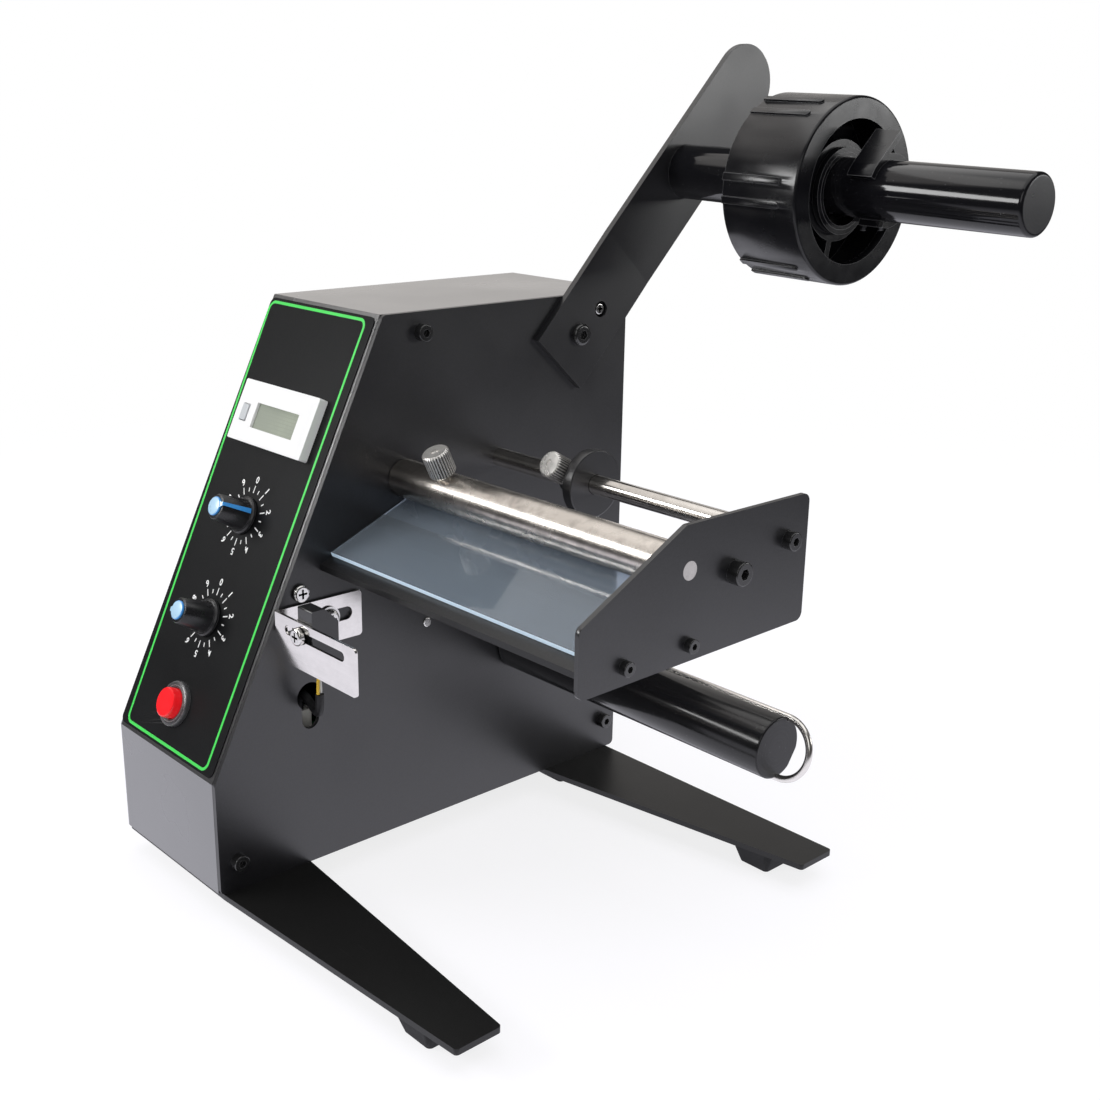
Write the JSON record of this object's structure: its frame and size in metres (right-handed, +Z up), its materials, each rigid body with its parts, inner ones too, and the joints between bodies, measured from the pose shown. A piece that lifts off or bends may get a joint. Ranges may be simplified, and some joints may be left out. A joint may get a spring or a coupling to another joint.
{
  "type": "label dispenser",
  "caption": "Desk-top label dispensing machine: reel arm with core holder, peel bed, press tube, driven take-up spindle, label sensor and control panel.",
  "frame": {"origin": "centre of the machine's outline on the floor, under its rubber feet", "axes": "+Z up; +Y from the control panel side to the back; +X from the housing towards the free ends of the rollers and the reel shaft"},
  "size_m": [0.2632, 0.3084, 0.3442],
  "materials": {
    "black_paint": "fine textured matt powder coat",
    "cover_paint": "fine textured matt powder coat",
    "panel_print": "satin printed overlay, black with green border",
    "steel_plate": "matt",
    "rubber_black": "matt",
    "bright_screw": "bright nickel",
    "black_screw": "black oxide",
    "reel_black": "satin",
    "holder_black": "high gloss",
    "bed_black": "satin black anodised",
    "acrylic_clear": "clear polished acrylic",
    "chrome_tube": "bright nickel",
    "rod_steel": "bright",
    "knurled_nickel": "knurled bright nickel",
    "spindle_black": "satin",
    "clip_wire": "bright",
    "machined_steel": "turned",
    "bronze_bush": "oiled",
    "belt_rubber": "matt",
    "motor_case": "satin",
    "board_green": "solder mask",
    "standoff_brass": "bright",
    "supply_case": "satin",
    "inlet_black": "moulded",
    "counter_grey": "moulded light grey",
    "display_grey": "grey green display",
    "key_grey": "moulded",
    "pot_metal": "plated",
    "knob_black": "satin",
    "pointer_blue": "satin light blue",
    "button_red": "glossy",
    "bezel_grey": "moulded dark grey",
    "stainless": "bright stainless",
    "sensor_black": "satin",
    "plug_white": "moulded",
    "lead_black": "satin sleeve",
    "wire_white": "insulation",
    "wire_yellow": "insulation"
  },
  "bodies": {
    "machine": {"side_plate": "black_paint", "housing_shell": "cover_paint", "bottom_plate": "steel_plate", "control_panel": "panel_print", "front_foot_bar": "black_paint", "rear_foot_bar": "black_paint", "rubber_feet": "rubber_black", "pan_screws": "bright_screw", "socket_screws": "black_screw", "side_rivet": "bright_screw", "reel_arm": "black_paint", "arm_bolt": "black_screw", "arm_locating_screw": "bright_screw", "reel_shaft": "reel_black", "reel_shaft_screw": "black_screw", "peel_bed": "bed_black", "acrylic_plate": "acrylic_clear", "outer_plate": "black_paint", "press_core": "rod_steel", "tie_rod": "rod_steel", "guide_rod": "rod_steel", "spindle_bush": "bronze_bush", "drive_belt": "belt_rubber", "gear_motor": "motor_case", "motor_bracket": "steel_plate", "circuit_board": "board_green", "board_standoffs": "standoff_brass", "power_supply": "supply_case", "power_inlet": "inlet_black", "counter_case": "counter_grey", "counter_display": "display_grey", "length_potentiometer": "pot_metal", "speed_potentiometer": "pot_metal", "button_bezel": "bezel_grey", "bracket_screw": "bright_screw", "sensor_plug": "plug_white", "sensor_lead": "lead_black"},
    "holder_carrier": {"holder_sleeve": "holder_black", "holder_collar": "holder_black"},
    "core_holder": {"core_holder": "holder_black"},
    "press_tube": {"press_tube": "chrome_tube"},
    "press_screw": {"press_thumb_screw": "knurled_nickel"},
    "edge_guide": {"edge_guide": "holder_black"},
    "guide_screw": {"guide_thumb_screw": "knurled_nickel"},
    "take_up": {"take_up_spindle": "spindle_black", "take_up_pulley": "machined_steel"},
    "web_clip": {"web_clip": "clip_wire"},
    "motor_drive": {"motor_pulley": "machined_steel"},
    "length_dial": {"length_knob": "knob_black", "length_knob_cap": "pointer_blue"},
    "speed_dial": {"speed_knob": "knob_black", "speed_knob_cap": "pointer_blue"},
    "power_button": {"power_button": "button_red"},
    "reset_key": {"counter_reset_key": "key_grey"},
    "sensor_bracket": {"sensor_bracket": "stainless"},
    "sensor": {"sensor_head": "sensor_black", "sensor_screw": "bright_screw", "white_wire": "wire_white", "yellow_wire": "wire_yellow"}
  },
  "joints": [
    {"name": "holder_slide", "type": "slide", "parent": "machine", "child": "holder_carrier", "axis": [0.9996, -0.019, -0.0204], "range_m": [-0.0545, 0.066]},
    {"name": "holder_spin", "type": "hinge", "parent": "holder_carrier", "child": "core_holder", "pos_m": [0.02882, 0.0994, 0.2848], "axis": [0.9996, -0.019, -0.0204], "continuous": true},
    {"name": "press_tube_turn", "type": "hinge", "parent": "machine", "child": "press_tube", "pos_m": [0.02698, -0.05815, 0.1699], "axis": [1, 0, 0], "range_deg": [-75, 85]},
    {"name": "press_screw_turn", "type": "hinge", "parent": "press_tube", "child": "press_screw", "pos_m": [-0.01971, -0.06441, 0.18331], "axis": [0, -0.4226, 0.9063], "range_deg": [0, 360]},
    {"name": "edge_guide_slide", "type": "slide", "parent": "machine", "child": "edge_guide", "axis": [1, 0, 0], "range_m": [-0.0424, 0.0953]},
    {"name": "guide_screw_turn", "type": "hinge", "parent": "edge_guide", "child": "guide_screw", "pos_m": [-0.00212, -0.01799, 0.1772], "axis": [0, -0.866, 0.5], "range_deg": [0, 360]},
    {"name": "take_up_spin", "type": "hinge", "parent": "machine", "child": "take_up", "pos_m": [0.02439, 0.00515, 0.0829], "axis": [1, 0, 0], "continuous": true},
    {"name": "motor_spin", "type": "hinge", "parent": "machine", "child": "motor_drive", "pos_m": [-0.06802, -0.04415, 0.064], "axis": [1, 0, 0], "continuous": true},
    {"name": "clip_slide", "type": "slide", "parent": "take_up", "child": "web_clip", "axis": [1, 0, 0], "range_m": [0, 0.13]},
    {"name": "length_dial_turn", "type": "hinge", "parent": "machine", "child": "length_dial", "pos_m": [-0.09362, -0.11469, 0.15646], "axis": [0, -0.9007, 0.4345], "range_deg": [-258, 66]},
    {"name": "speed_dial_turn", "type": "hinge", "parent": "machine", "child": "speed_dial", "pos_m": [-0.09362, -0.13407, 0.11629], "axis": [0, -0.9007, 0.4345], "range_deg": [-63, 261]},
    {"name": "power_button_press", "type": "slide", "parent": "machine", "child": "power_button", "axis": [0, 0.9007, -0.4345], "range_m": [0, 0.003], "stiffness_N_per_m": 400, "springref_m": -0.002},
    {"name": "reset_key_press", "type": "slide", "parent": "machine", "child": "reset_key", "axis": [0, 0.9007, -0.4345], "range_m": [0, 0.001], "stiffness_N_per_m": 300, "springref_m": -0.001},
    {"name": "sensor_bracket_slide", "type": "slide", "parent": "machine", "child": "sensor_bracket", "axis": [0, 1, 0], "range_m": [-0.0088, 0.0143]},
    {"name": "sensor_slide", "type": "slide", "parent": "sensor_bracket", "child": "sensor", "axis": [1, 0, 0], "range_m": [-0.00865, 0.02735]}
  ],
  "couplings": [
    {"joint": "motor_spin", "follows": "take_up_spin", "ratio": 1.875}
  ]
}
